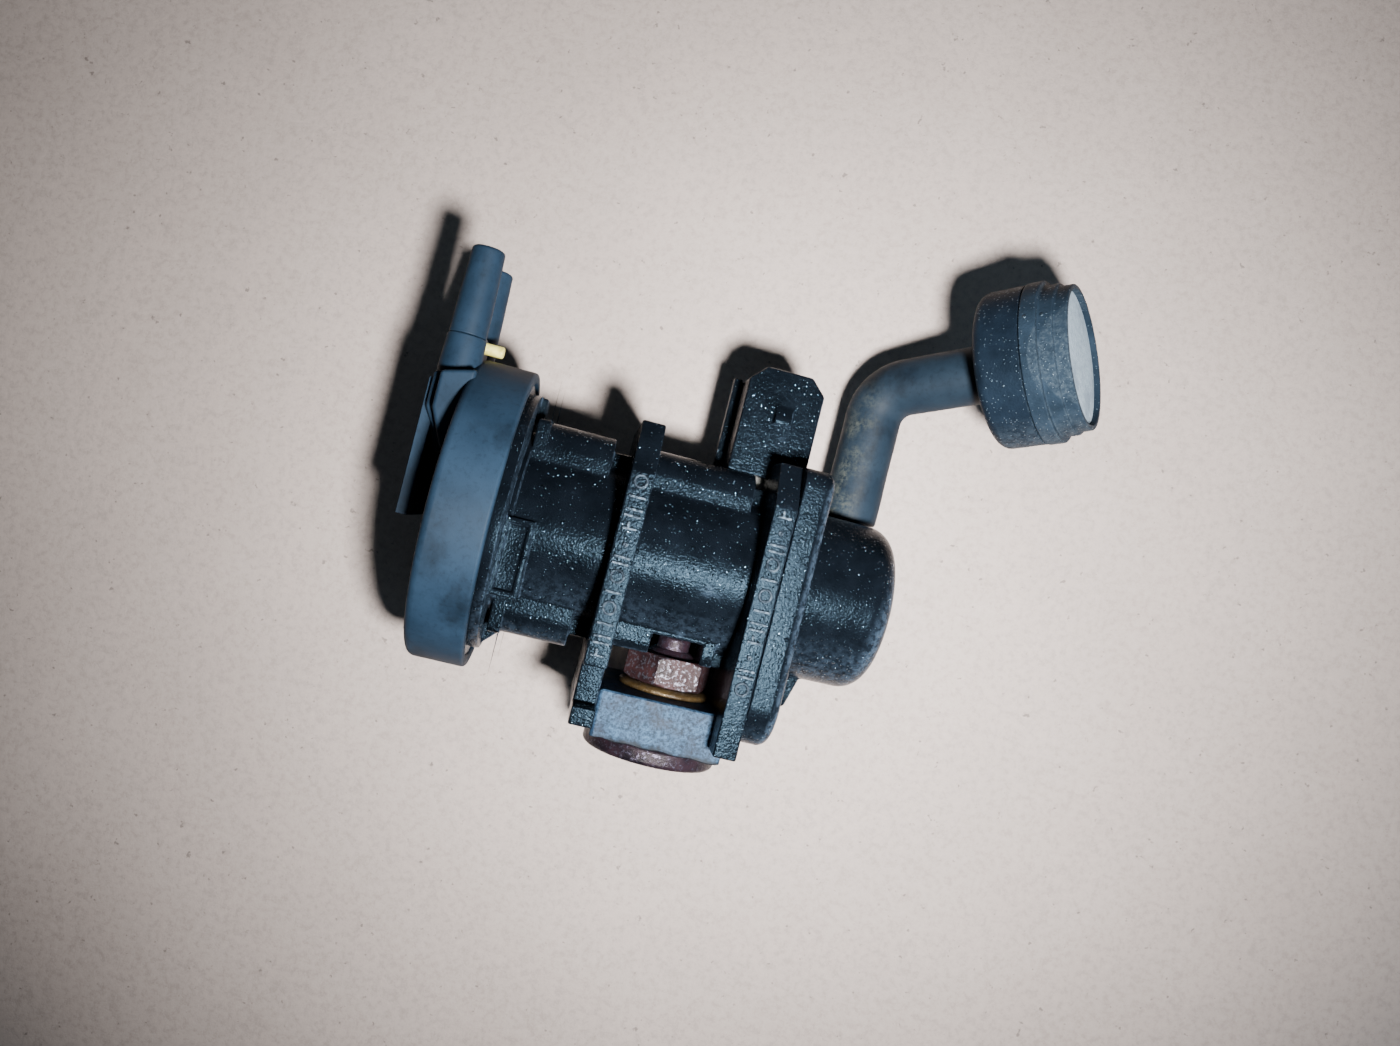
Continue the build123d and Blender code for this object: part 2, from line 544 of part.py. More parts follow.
# Plain washer under the nut.
with BuildPart() as plain_washer:
    ring(BLOCK_TOP, WASHER_TOP, WASHER_R, SHANK_R + 0.05, plane=BOLT)
    fillet(plain_washer.edges().group_by(Axis.Y)[-1].sort_by(SortBy.LENGTH)[-1], 0.4)
save(plain_washer, "plain_washer")

# Hex nut on the bolt, turned a little from square, with its corners chamfered.
NUT_TURN = 11.0
with BuildPart() as hex_nut:
    with BuildSketch(BOLT.offset(WASHER_TOP)) as hexagon:
        RegularPolygon(NUT_FLATS / 2, 6, major_radius=False, rotation=NUT_TURN + 30)
    extrude(hexagon.sketch, amount=NUT_TOP - WASHER_TOP)
    with BuildSketch(BOLT.offset(WASHER_TOP)) as turned:
        Circle(NUT_FLATS / math.sqrt(3))
    with BuildPart(mode=Mode.PRIVATE) as chamfered:
        extrude(turned.sketch, amount=NUT_TOP - WASHER_TOP)
        chamfer(chamfered.edges(), 0.5, 0.9)
    add(chamfered.part, mode=Mode.INTERSECT)
    ring(WASHER_TOP, NUT_TOP, SHANK_R + 0.02, mode=Mode.SUBTRACT, plane=BOLT)
save(hex_nut, "hex_nut")

# Vent hose: a moulded rubber elbow from the dome's spigot to the filter.
with BuildPart() as vent_hose:
    with BuildLine() as route:
        FilletPolyline(
            (SPIGOT_X, HOSE_START, SPIGOT_Z), HOSE_CORNER, FILTER_BACK, radius=HOSE_BEND_R,
        )
    with BuildSketch(Plane(origin=route.line @ 0, z_dir=route.line % 0)):
        Circle(HOSE_R)
        Circle(HOSE_BORE_R, mode=Mode.SUBTRACT)
    sweep()
save(vent_hose, "vent_hose")

# Filter cup: a round plastic cup with an inlet spigot that the hose grips.
CUP_END = 7.8
BAND_END = 10.5
STEP_END = 12.9
FILTER_END = 15.0
with BuildPart() as filter_cup:
    ring(0.0, CUP_END, FILTER_R, plane=FILTER)
    fillet(filter_cup.edges().sort_by(Axis(tuple(FILTER_BACK), tuple(FILTER_AXIS)))[0], 1.6)
    ring(FILTER_WALL, CUP_END, FILTER_R - FILTER_WALL, mode=Mode.SUBTRACT, plane=FILTER)
    ring(-6.0, 1.0, HOSE_BORE_R - 0.02, plane=FILTER)
    ring(-6.0, FILTER_WALL, 2.2, mode=Mode.SUBTRACT, plane=FILTER)
save(filter_cup, "filter_cup")

# Filter cap: the stepped cover ring that snaps onto the cup, open at its outer end.
with BuildPart() as filter_cap:
    ring(CUP_END, BAND_END, FILTER_R + 0.15, 11.3, plane=FILTER)
    ring(BAND_END, STEP_END, 12.6, 11.3, plane=FILTER)
    ring(STEP_END, FILTER_END, 12.1, 11.3, plane=FILTER)
save(filter_cap, "filter_cap")

# Filter disc: the pale felt disc in the cap's mouth.
with BuildPart() as filter_disc:
    ring(11.2, 14.0, 11.3, plane=FILTER)
save(filter_disc, "filter_disc")

# Filter foam: the open-cell pad in the cup.
with BuildPart() as filter_foam:
    ring(FILTER_WALL + 0.3, CUP_END - 0.2, FILTER_R - FILTER_WALL - 0.2, plane=FILTER)
save(filter_foam, "filter_foam")
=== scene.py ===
import json
import math

import bmesh
import bpy
from mathutils import Matrix, Vector, noise as smooth_noise


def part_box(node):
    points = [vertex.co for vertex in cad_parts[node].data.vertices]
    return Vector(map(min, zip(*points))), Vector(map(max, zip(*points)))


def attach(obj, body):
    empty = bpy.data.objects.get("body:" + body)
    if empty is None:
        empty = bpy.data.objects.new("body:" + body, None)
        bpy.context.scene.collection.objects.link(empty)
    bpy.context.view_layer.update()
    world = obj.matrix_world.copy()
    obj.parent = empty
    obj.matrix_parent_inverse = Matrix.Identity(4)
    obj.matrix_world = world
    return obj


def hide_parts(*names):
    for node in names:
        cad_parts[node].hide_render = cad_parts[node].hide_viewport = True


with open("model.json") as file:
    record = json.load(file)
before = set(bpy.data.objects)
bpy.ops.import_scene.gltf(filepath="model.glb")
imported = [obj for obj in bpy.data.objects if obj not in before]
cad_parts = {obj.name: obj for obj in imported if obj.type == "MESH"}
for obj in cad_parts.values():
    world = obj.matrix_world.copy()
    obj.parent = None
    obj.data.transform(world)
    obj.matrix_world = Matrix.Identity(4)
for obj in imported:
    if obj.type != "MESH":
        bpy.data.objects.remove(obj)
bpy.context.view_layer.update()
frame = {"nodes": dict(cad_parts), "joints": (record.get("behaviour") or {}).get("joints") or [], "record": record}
nodes = frame["nodes"]
MM = 0.001


# The bench: a pale, slightly warm board that the valve lies on. It slopes so that both the
# connector's rim and the flange's corner touch it, as they do when the valve is laid down.
def new_material(name, roughness=0.5, metallic=0.0, specular=0.5):
    material = bpy.data.materials.new(name)
    material.use_nodes = True
    shader = material.node_tree.nodes["Principled BSDF"]
    shader.inputs["Roughness"].default_value = roughness
    shader.inputs["Metallic"].default_value = metallic
    shader.inputs["Specular IOR Level"].default_value = specular
    return material


def add_node(material, kind, **values):
    node = material.node_tree.nodes.new(kind)
    for key, value in values.items():
        if key in node.inputs:
            node.inputs[key].default_value = value
        else:
            setattr(node, key, value)
    return node


def join(material, source, target):
    """Link a (node, socket) to a (node, socket)."""
    material.node_tree.links.new(source[0].outputs[source[1]], target[0].inputs[target[1]])


def to_shader(material, socket, source):
    join(material, source, (material.node_tree.nodes["Principled BSDF"], socket))


def texture(material, kind, stretch=(1.0, 1.0, 1.0), **values):
    """A procedural texture on object coordinates, stretched along the axes."""
    place = add_node(material, "ShaderNodeTexCoord")
    mapping = add_node(material, "ShaderNodeMapping", Scale=stretch)
    pattern = add_node(material, "ShaderNodeTex" + kind, **values)
    join(material, (place, "Object"), (mapping, "Vector"))
    join(material, (mapping, "Vector"), (pattern, "Vector"))
    return pattern


def cloud(material, scale, detail=3.0, roughness=0.6, stretch=(1.0, 1.0, 1.0)):
    pattern = texture(material, "Noise", stretch, Scale=scale, Detail=detail, Roughness=roughness)
    return (pattern, "Fac")


def ramp(material, source, *stops):
    """A colour or grey ramp; stops are (position, grey or colour)."""
    node = add_node(material, "ShaderNodeValToRGB")
    steps = node.color_ramp.elements
    while len(steps) < len(stops):
        steps.new(0.5)
    for step, (position, colour) in zip(steps, stops):
        step.position = position
        step.color = (*colour, 1.0) if isinstance(colour, tuple) else (colour, colour, colour, 1.0)
    join(material, source, (node, "Fac"))
    return (node, "Color")


def blended(material, factor, first, second, how="MIX"):
    """Mix two colours, each a (node, socket) or a plain colour, by a (node, socket) or number."""
    node = add_node(material, "ShaderNodeMix", data_type="RGBA", blend_type=how)
    colours = [socket for socket in node.inputs if socket.type == "RGBA"]
    for socket, value in zip(colours, (first, second)):
        if isinstance(value[0], bpy.types.Node):
            material.node_tree.links.new(value[0].outputs[value[1]], socket)
        else:
            socket.default_value = (*value, 1.0)
    if isinstance(factor, tuple):
        material.node_tree.links.new(factor[0].outputs[factor[1]], node.inputs[0])
    else:
        node.inputs[0].default_value = factor
    # The mix node keeps its colour result in its third output.
    return (node, 2)


def figure(material, operation, first, second):
    """One arithmetic step between (node, socket) values or numbers."""
    node = add_node(material, "ShaderNodeMath", operation=operation)
    for slot, value in enumerate((first, second)):
        if isinstance(value, tuple):
            material.node_tree.links.new(value[0].outputs[value[1]], node.inputs[slot])
        else:
            node.inputs[slot].default_value = value
    return (node, "Value")


def bump(material, height, strength, distance):
    """Relief on the shader; a later call adds finer relief to the earlier one."""
    shader = material.node_tree.nodes["Principled BSDF"]
    node = add_node(material, "ShaderNodeBump", Strength=strength, Distance=distance)
    join(material, height, (node, "Height"))
    for link in list(material.node_tree.links):
        if link.to_socket == shader.inputs["Normal"]:
            join(material, (link.from_node, "Normal"), (node, "Normal"))
    join(material, (node, "Normal"), (shader, "Normal"))


def coordinate(material, axis):
    """An object coordinate, in metres, as a (node, socket)."""
    place = add_node(material, "ShaderNodeTexCoord")
    split = add_node(material, "ShaderNodeSeparateXYZ")
    join(material, (place, "Object"), (split, "Vector"))
    return (split, axis)


def between(material, value, low, high):
    """0 below low, 1 above high, in metres, smoothly."""
    node = add_node(material, "ShaderNodeMapRange", interpolation_type="SMOOTHSTEP")
    node.inputs["From Min"].default_value = low
    node.inputs["From Max"].default_value = high
    join(material, value, (node, "Value"))
    return (node, "Result")


def sloped(x):
    """Height of the board under a station along the valve's axis."""
    return -0.0252 + (x + 0.033) * 0.11


BOARD_HALF = 1.6
board_mesh = bmesh.new()
bmesh.ops.create_grid(board_mesh, x_segments=1, y_segments=1, size=BOARD_HALF)
for vertex in board_mesh.verts:
    vertex.co.z = sloped(vertex.co.x)
board_data = bpy.data.meshes.new("bench_board")
board_mesh.to_mesh(board_data)
board_mesh.free()
board = bpy.data.objects.new("bench_board", board_data)
bpy.context.scene.collection.objects.link(board)

board_paint = new_material("board paper", roughness=0.85, specular=0.2)
board_tone = ramp(board_paint, cloud(board_paint, 9.0, 4.0),
                  (0.3, (0.37, 0.312, 0.286)), (0.7, (0.445, 0.378, 0.348)))
board_fibre = cloud(board_paint, 700.0, 6.0, 0.75)
board_fleck = ramp(board_paint, board_fibre, (0.36, 0.84), (0.5, 1.0), (0.66, 1.07))
board_pits = ramp(board_paint, cloud(board_paint, 620.0, 2.0), (0.25, 0.55), (0.31, 1.0))
board_mix = blended(board_paint, 1.0, board_tone, board_fleck, "MULTIPLY")
board_mix = blended(board_paint, 1.0, board_mix, board_pits, "MULTIPLY")
to_shader(board_paint, "Base Color", board_mix)
bump(board_paint, board_fibre, 0.40, 0.0004)
board.data.materials.append(board_paint)


# Camera and lights: a hand-held camera straight above the valve, a small lamp beside it with
# a narrow beam, a large soft light beyond the ports, and a smaller one on the dome's side.
camera_data = bpy.data.cameras.new("camera")
camera_data.lens = 27.03
camera_data.sensor_width = 36.0
camera_data.clip_start = 0.01
camera = bpy.data.objects.new("camera", camera_data)
camera.location = (-0.01958, 0.03762, 0.17787)
camera.rotation_euler = [math.radians(angle) for angle in (-0.755, -6.057, 14.2)]
bpy.context.scene.collection.objects.link(camera)
bpy.context.scene.camera = camera


def area_light(name, place, target, size, power, colour, spread=180.0):
    data = bpy.data.lights.new(name, "AREA")
    data.shape = "DISK"
    data.size = size
    data.energy = power
    data.color = colour
    light = bpy.data.objects.new(name, data)
    light.location = place
    data.spread = math.radians(spread)
    light.rotation_euler = (Vector(target) - Vector(place)).to_track_quat("-Z", "Y").to_euler()
    bpy.context.scene.collection.objects.link(light)
    return light


area_light("lamp", (0.022, 0.007, 0.186), (0.016, 0.052, -0.02), 0.024, 0.68, (1.0, 0.98, 0.96), 92.0)
area_light("sky", (-0.25, 0.45, 0.75), (0.0, 0.03, 0.0), 0.9, 0.3, (0.62, 0.82, 1.0))
area_light("side", (0.42, -0.06, 0.20), (0.02, 0.03, 0.0), 0.30, 0.40, (0.50, 0.76, 1.0))
world = bpy.data.worlds.new("room")
world.use_nodes = True
world.node_tree.nodes["Background"].inputs["Color"].default_value = (0.72, 0.86, 1.0, 1.0)
world.node_tree.nodes["Background"].inputs["Strength"].default_value = 0.025
bpy.context.scene.world = world


# Black mouldings: glass-filled nylon, shot in steel tools and now covered with a thin film of
# oil and under-bonnet dust. The housing carries the collar, the lobed barrel and both
# flanges; the end cover is welded on, and the plug socket and port plate are pressed home.
GRAIN = 3000.0
PLASTIC_EDGE = 0.32 * MM
FLANGE_MIDDLE = 9.65 * MM
RIM_TOP = max(vertex.co.z for vertex in nodes["valve_housing"].data.vertices
              if abs(vertex.co.x - FLANGE_MIDDLE) < 2.0 * MM)


def droplets(material, scale, share, radius):
    """Round beads on a random share of evenly spread cells: (height, mask) sockets."""
    cells = texture(material, "Voronoi", Scale=scale)
    chance = add_node(material, "ShaderNodeSeparateColor")
    join(material, (cells, "Color"), (chance, "Color"))
    chosen = figure(material, "GREATER_THAN", (chance, "Red"), 1.0 - share)
    dome = ramp(material, (cells, "Distance"), (0.0, 1.0), (radius * 0.6, 0.75), (radius, 0.0))
    return figure(material, "MULTIPLY", dome, chosen)


def plastic(name, dark, dust_and_sheen, gloss, tint):
    """Oily plastic: beads of oil, dust on the marks above the rim, and painted sheen: faces turned toward the
    lamps are painted lighter.
    """
    material = new_material(name, roughness=gloss, specular=0.06)
    shader = material.node_tree.nodes["Principled BSDF"]
    shader.inputs["Specular Tint"].default_value = (*tint, 1.0)
    film = cloud(material, 150.0, 5.0, 0.65)
    tone = ramp(material, film, (0.36, dark), (0.66, tuple(2.0 * part for part in dark)), (0.85, dust_and_sheen))
    top = figure(material, "MULTIPLY",
                 between(material, coordinate(material, "Z"), RIM_TOP + 0.08 * MM, RIM_TOP + 0.30 * MM),
                 between(material, coordinate(material, "X"), -16.5 * MM, -15.5 * MM))
    specks = ramp(material, cloud(material, 1500.0, 4.0, 0.8), (0.46, 0.15), (0.62, 1.0))
    dust = figure(material, "MULTIPLY", top, specks)
    tone = blended(material, dust, tone, dust_and_sheen)
    # Painted sheen: faces turned toward the lamps (+X and -Y) get the lighter colour in grains, standing in for
    # highlights.
    lean = add_node(material, "ShaderNodeSeparateXYZ")
    join(material, (add_node(material, "ShaderNodeTexCoord"), "Normal"), (lean, "Vector"))
    faces_toward_lamps = figure(material, "SUBTRACT", (lean, "X"), figure(material, "MULTIPLY", (lean, "Y"), 0.6))
    painted_sheen_grain = ramp(material, cloud(material, 900.0, 5.0, 0.75), (0.42, 0.1), (0.60, 1.0))
    painted_sheen = figure(material, "MULTIPLY", between(material, faces_toward_lamps, 0.15, 0.85), painted_sheen_grain)
    to_shader(material, "Base Color", blended(material, painted_sheen, tone, dust_and_sheen))
    beads = droplets(material, 1700.0, 0.58, 0.27)
    drops = droplets(material, 480.0, 0.22, 0.17)
    wet = figure(material, "MAXIMUM", beads, drops)
    to_shader(material, "Specular IOR Level", ramp(material, wet, (0.0, 0.038), (0.3, 1.0)))
    dull = ramp(material, film, (0.3, gloss), (0.7, gloss + 0.10))
    gloss_of_beads = figure(material, "MULTIPLY", wet, 0.08)
    to_shader(material, "Roughness", figure(material, "SUBTRACT", dull, gloss_of_beads))
    bump(material, cloud(material, 600.0, 3.0, 0.6), 0.25, 0.00025)
    bump(material, cloud(material, GRAIN, 2.0, 0.5), 0.55, 0.00014)
    bump(material, beads, 1.0, 0.00010)
    bump(material, drops, 1.0, 0.00028)
    return material


def plain_mesh(node):
    """A merged copy of a part's triangles, with its flat faces made whole."""
    mesh = bmesh.new()
    mesh.from_mesh(nodes[node].data)
    bmesh.ops.remove_doubles(mesh, verts=mesh.verts, dist=0.000002)
    bmesh.ops.dissolve_limit(mesh, angle_limit=math.radians(1.0), use_dissolve_boundaries=False,
                             verts=mesh.verts, edges=mesh.edges, delimit=set())
    return mesh


def soften(mesh, width, segments=2, sharper=28.0, near=None):
    """Round the sharp edges, or only those whose middle is one that near() accepts."""
    edges = []
    for edge in mesh.edges:
        middle = (edge.verts[0].co + edge.verts[1].co) / 2
        if edge.is_manifold and edge.calc_face_angle(0.0) > math.radians(sharper):
            if near is None or near(middle):
                edges.append(edge)
    bmesh.ops.bevel(mesh, geom=edges, offset=width, offset_type="OFFSET", affect="EDGES",
                    segments=segments, profile=0.5, material=-1, clamp_overlap=False)


def finished(name, mesh, body, slot, material, *replaced, crease=38.0):
    """Turn a mesh into a piece that rides on a body and stands in for the parts it replaces."""
    for face in mesh.faces:
        face.smooth = True
    for edge in mesh.edges:
        edge.smooth = not (edge.is_manifold and edge.calc_face_angle(0.0) > math.radians(crease))
    data = bpy.data.meshes.new(name)
    mesh.to_mesh(data)
    mesh.free()
    data.materials.append(material)
    piece = bpy.data.objects.new(name, data)
    bpy.context.scene.collection.objects.link(piece)
    even = piece.modifiers.new("even shading", "WEIGHTED_NORMAL")
    even.keep_sharp = True
    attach(piece, body)
    if replaced:
        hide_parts(*replaced)
    return piece


black_plastic = plastic("black plastic", (0.0012, 0.0018, 0.0028), (0.026, 0.040, 0.060), 0.17,
                        (0.42, 0.72, 1.0))
for name, node in (("housing_moulding", "valve_housing"), ("end_cover_moulding", "end_cover"),
                   ("plug_socket_moulding", "plug_socket"), ("port_plate_moulding", "port_plate")):
    moulding = plain_mesh(node)
    soften(moulding, PLASTIC_EDGE)
    finished(name, moulding, "valve", "black_plastic", black_plastic, node)


# Mould marks: rows of raised bars, rings and dots along the top edge of each flange, cut into
# the mould so that they stand proud of the rim.
MARK_HEIGHT = 0.60 * MM
MARK_LINE = 0.36 * MM
MARK_LENGTH = 2.6 * MM
MARK_PITCH = 2.45 * MM


def add_shell(whole, shell):
    """Put one closed shell into a piece made of several."""
    data = bpy.data.meshes.new("shell")
    shell.to_mesh(data)
    shell.free()
    whole.from_mesh(data)
    bpy.data.meshes.remove(data)


def bar(middle, size, edge):
    """A bar of a given size about its middle, with rounded edges."""
    mesh = bmesh.new()
    place = Matrix.Translation(middle) @ Matrix.Diagonal((*size, 1.0))
    bmesh.ops.create_cube(mesh, size=1.0, matrix=place)
    soften(mesh, edge, 2)
    return mesh


def small_ring(middle, radius, line):
    """A raised ring: a small circle spun about the upright through its middle."""
    mesh = bmesh.new()
    lie = Matrix.Translation(middle + Vector((radius, 0, 0))) @ Matrix.Rotation(math.pi / 2, 4, "X")
    bmesh.ops.create_circle(mesh, segments=8, radius=line / 2, matrix=lie)
    bmesh.ops.spin(mesh, geom=mesh.verts[:] + mesh.edges[:], cent=middle, axis=(0, 0, 1),
                   angle=math.tau, steps=20, use_merge=True)
    bmesh.ops.recalc_face_normals(mesh, faces=mesh.faces)
    return mesh


MARKS = ("ring", "bar", "pair", "cross bar", "dot", "pair", "ring", "bar")
mark_rows = bmesh.new()
axis_height = (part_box("flux_can")[0][1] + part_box("flux_can")[1][1]) / 2
for rim_middle, shift in ((-12.95 * MM, 0), (FLANGE_MIDDLE, 3)):
    for step in range(12):
        kind = MARKS[(step + shift) % len(MARKS)]
        middle = Vector((rim_middle, axis_height + 11.2 * MM - step * MARK_PITCH, RIM_TOP))
        if kind == "ring":
            add_shell(mark_rows, small_ring(middle, 0.95 * MM, MARK_LINE * 1.2))
        elif kind == "dot":
            add_shell(mark_rows, small_ring(middle, 0.22 * MM, MARK_LINE * 1.2))
        elif kind == "cross bar":
            size = (MARK_LENGTH * 0.8, MARK_LINE, 2 * MARK_HEIGHT)
            add_shell(mark_rows, bar(middle, size, 0.08 * MM))
            offset = Vector((-0.3 * MM, 0.55 * MM, 0))
            add_shell(mark_rows, bar(middle + offset, (MARK_LINE, 1.0 * MM, 2 * MARK_HEIGHT), 0.08 * MM))
        else:
            for side in (-1, 1) if kind == "pair" else (0,):
                offset = Vector((0, side * 0.5 * MM, 0))
                size = (MARK_LENGTH, MARK_LINE, 2 * MARK_HEIGHT)
                add_shell(mark_rows, bar(middle + offset, size, 0.08 * MM))
dusty_marks = plastic("dusty marks", (0.0012, 0.0018, 0.0028), (0.085, 0.115, 0.150), 0.20,
                      (0.42, 0.72, 1.0))
finished("rim_marks", mark_rows, "valve", "black_plastic", dusty_marks)


# Port connector: one soft rubber moulding that caps the port plate. It has two stub bosses, a
# bridge between them, and a finger tab on a solid root for pulling the connector off.
CAP_RADIUS = 25.0
CAP_BACK = -42.3
CAP_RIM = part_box("port_manifold")[1][0] / MM
CAP_BORE = 23.06
CAP_FLOOR = -37.2
PORT_X = -44.7
PORT_Z = 8.14
STUB_RADIUS = 3.35
STUB_FOOT = 21.8
SEAM = 27.1
TAB_BACK = -48.6
TAB_THICKNESS = 1.8
TAB_LOW = -2.6
TAB_HIGH = 19.4
TAB_HALF = 9.5
ROOT_BITE = 1.2
ROOT_SHOULDER = 14.6
ROOT_TOP = 21.8
# Each layer of the root: half width, height of its foot, and how far out it reaches low and high.
ROOT_LAYERS = ((9.2, 8.2, -45.5, -47.6), (11.3, 8.8, -44.3, -47.9), (14.6, 8.8, -43.8, -46.4))


def rubber(name, shade, light, smudge, mottle=90.0):
    """Soft rubber: a clouded blue-grey with darker oily smudges and a fine sooty grain."""
    material = new_material(name, roughness=0.5, specular=0.10)
    body = cloud(material, mottle, 5.0, 0.6)
    tone = ramp(material, body, (0.34, shade), (0.66, light))
    stain = ramp(material, cloud(material, 60.0, 6.0, 0.65, (1.0, 0.7, 1.0)), (0.54, 0.0), (0.66, 0.75))
    tone = blended(material, stain, tone, smudge)
    soot = ramp(material, cloud(material, 1300.0, 5.0, 0.7), (0.30, 0.62), (0.48, 1.0))
    to_shader(material, "Base Color", blended(material, 0.8, tone, soot, "MULTIPLY"))
    to_shader(material, "Roughness", ramp(material, body, (0.3, 0.48), (0.7, 0.68)))
    bump(material, cloud(material, 420.0, 4.0, 0.6), 0.25, 0.00012)
    bump(material, cloud(material, 2400.0, 2.0), 0.22, 0.00004)
    return material


def turned(profile, steps=96, closed=False):
    """A mesh turned about X, from (station, radius) points in millimetres."""
    mesh = bmesh.new()
    points = [mesh.verts.new((station * MM, radius * MM, 0.0)) for station, radius in profile]
    edges = [mesh.edges.new(pair) for pair in zip(points, points[1:])]
    if closed:
        edges.append(mesh.edges.new((points[-1], points[0])))
    bmesh.ops.spin(mesh, geom=points + edges, cent=(0, 0, 0), axis=(1, 0, 0), angle=math.tau,
                   steps=steps, use_merge=True)
    bmesh.ops.remove_doubles(mesh, verts=mesh.verts, dist=0.000001)
    bmesh.ops.recalc_face_normals(mesh, faces=mesh.faces)
    return mesh


def lay_along(mesh, origin, direction):
    """Carry a mesh turned about X onto an axis that starts at origin, in millimetres."""
    turn = Vector(direction).to_track_quat("X", "Z").to_matrix().to_4x4()
    place = Matrix.Translation(Vector(origin) * MM) @ turn
    bmesh.ops.transform(mesh, matrix=place, verts=mesh.verts)
    return mesh


def box_shell(low, high, edge, segments=3):
    """A block between two corners in millimetres, with rounded edges."""
    middle = (Vector(low) + Vector(high)) / 2 * MM
    size = (Vector(high) - Vector(low)) * MM
    mesh = bmesh.new()
    place = Matrix.Translation(middle) @ Matrix.Diagonal((*size, 1.0))
    bmesh.ops.create_cube(mesh, size=1.0, matrix=place)
    soften(mesh, edge * MM, segments)
    return mesh


AH = axis_height / MM
UP_Y = (0, 1, 0)
blue_rubber = rubber("blue rubber", (0.0058, 0.0140, 0.026), (0.0110, 0.0245, 0.044), (0.0035, 0.007, 0.012))
connector = bmesh.new()
cap = turned([(CAP_BACK, 0), (CAP_BACK, CAP_RADIUS), (CAP_RIM, CAP_RADIUS), (CAP_RIM, CAP_BORE),
              (CAP_FLOOR, CAP_BORE), (CAP_FLOOR, 0)], 128)
soften(cap, 1.3 * MM, 5, near=lambda point: point.x < CAP_BACK * MM + 0.0005)
soften(cap, 0.55 * MM, 3, near=lambda point: point.x > CAP_RIM * MM - 0.0005)
add_shell(connector, lay_along(cap, (0, AH, 0), (1, 0, 0)))
for side in (-1, 1):
    stub = turned([(STUB_FOOT - STUB_RADIUS, 0), (STUB_FOOT - STUB_RADIUS, STUB_RADIUS - 0.1),
                   (STUB_FOOT, STUB_RADIUS), (SEAM, STUB_RADIUS - 0.25), (SEAM, 1.3),
                   (STUB_FOOT, 1.3), (STUB_FOOT, 0)], 48)
    soften(stub, 2.2 * MM, 6, near=lambda point: point.x < (STUB_FOOT - 2) * MM and point.yz.length > 0.001)
    soften(stub, 0.3 * MM, 2, near=lambda point: point.x > (SEAM - 1) * MM and point.yz.length > 0.002)
    add_shell(connector, lay_along(stub, (PORT_X, AH, side * PORT_Z), UP_Y))
tab = box_shell((TAB_BACK, AH + TAB_LOW, -TAB_HALF),
                (TAB_BACK + TAB_THICKNESS, AH + TAB_HIGH, TAB_HALF), 0.05, 1)
soften(tab, 3.2 * MM, 6, 60.0, near=lambda point: abs(abs(point.z) - TAB_HALF * MM) < 0.0001
       and min(abs(point.y - (AH + TAB_LOW) * MM), abs(point.y - (AH + TAB_HIGH) * MM)) < 0.0001)
soften(tab, 0.5 * MM, 3, 60.0, near=lambda point: point.y < (AH + TAB_LOW + 0.2) * MM)
soften(tab, 0.8 * MM, 3, 60.0, near=lambda point: point.y > (AH + TAB_HIGH - 0.2) * MM)
add_shell(connector, tab)
for half, low, low_reach, high_reach in ROOT_LAYERS:
    root = bmesh.new()
    outline = [(CAP_BACK + ROOT_BITE, low), (low_reach, low), (high_reach, ROOT_SHOULDER),
               (high_reach, ROOT_TOP - 1.4), (CAP_BACK + ROOT_BITE, ROOT_TOP)]
    face = root.faces.new([root.verts.new((x * MM, (AH + y) * MM, -half * MM)) for x, y in outline])
    pulled = bmesh.ops.extrude_face_region(root, geom=[face])["geom"]
    bmesh.ops.translate(root, verts=[item for item in pulled if isinstance(item, bmesh.types.BMVert)],
                        vec=(0, 0, 2 * half * MM))
    bmesh.ops.recalc_face_normals(root, faces=root.faces)
    soften(root, 0.6 * MM, 3)
    add_shell(connector, root)
add_shell(connector, box_shell((-46.6, AH + 20.0, 2.6 - PORT_Z), (-42.6, AH + 28.6, PORT_Z - 2.6), 0.5))
finished("connector_moulding", connector, "port_connector", "blue_rubber", blue_rubber, "port_manifold")


# Hose sleeves: two tapered rubber tubes that stand on the stub bosses, each with a rounded lip
# and a fine dark seam where it meets the boss. A yellow plastic restrictor sits between them.
TUBE_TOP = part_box("vacuum_tube_upper")[1][1] / MM - AH
LINE_BORE = 1.85
LINE_STOP = 30.6
PASSAGE = 1.2
for name, side in (("vacuum_tube_upper", 1), ("vacuum_tube_lower", -1)):
    sleeve = turned([(SEAM + 0.05, 2.98), (TUBE_TOP - 9.0, 2.90), (TUBE_TOP, 2.62), (TUBE_TOP, LINE_BORE),
                     (LINE_STOP, LINE_BORE), (LINE_STOP, PASSAGE), (SEAM + 0.05, PASSAGE)], 64, closed=True)
    soften(sleeve, 0.6 * MM, 4, near=lambda point: point.x > (TUBE_TOP - 0.5) * MM
           and point.yz.length > 0.0024)
    soften(sleeve, 0.22 * MM, 2, near=lambda point: point.x < (SEAM + 1) * MM and point.yz.length > 0.002)
    lay_along(sleeve, (PORT_X, AH, side * PORT_Z), UP_Y)
    finished(name + "_sleeve", sleeve, "port_connector", "blue_rubber", blue_rubber, name)

yellow_plastic = new_material("yellow plastic", roughness=0.4)
to_shader(yellow_plastic, "Base Color", ramp(yellow_plastic, cloud(yellow_plastic, 900.0, 4.0),
          (0.3, (0.42, 0.36, 0.06)), (0.6, (0.72, 0.66, 0.18))))
bump(yellow_plastic, cloud(yellow_plastic, 1800.0), 0.2, 0.00005)


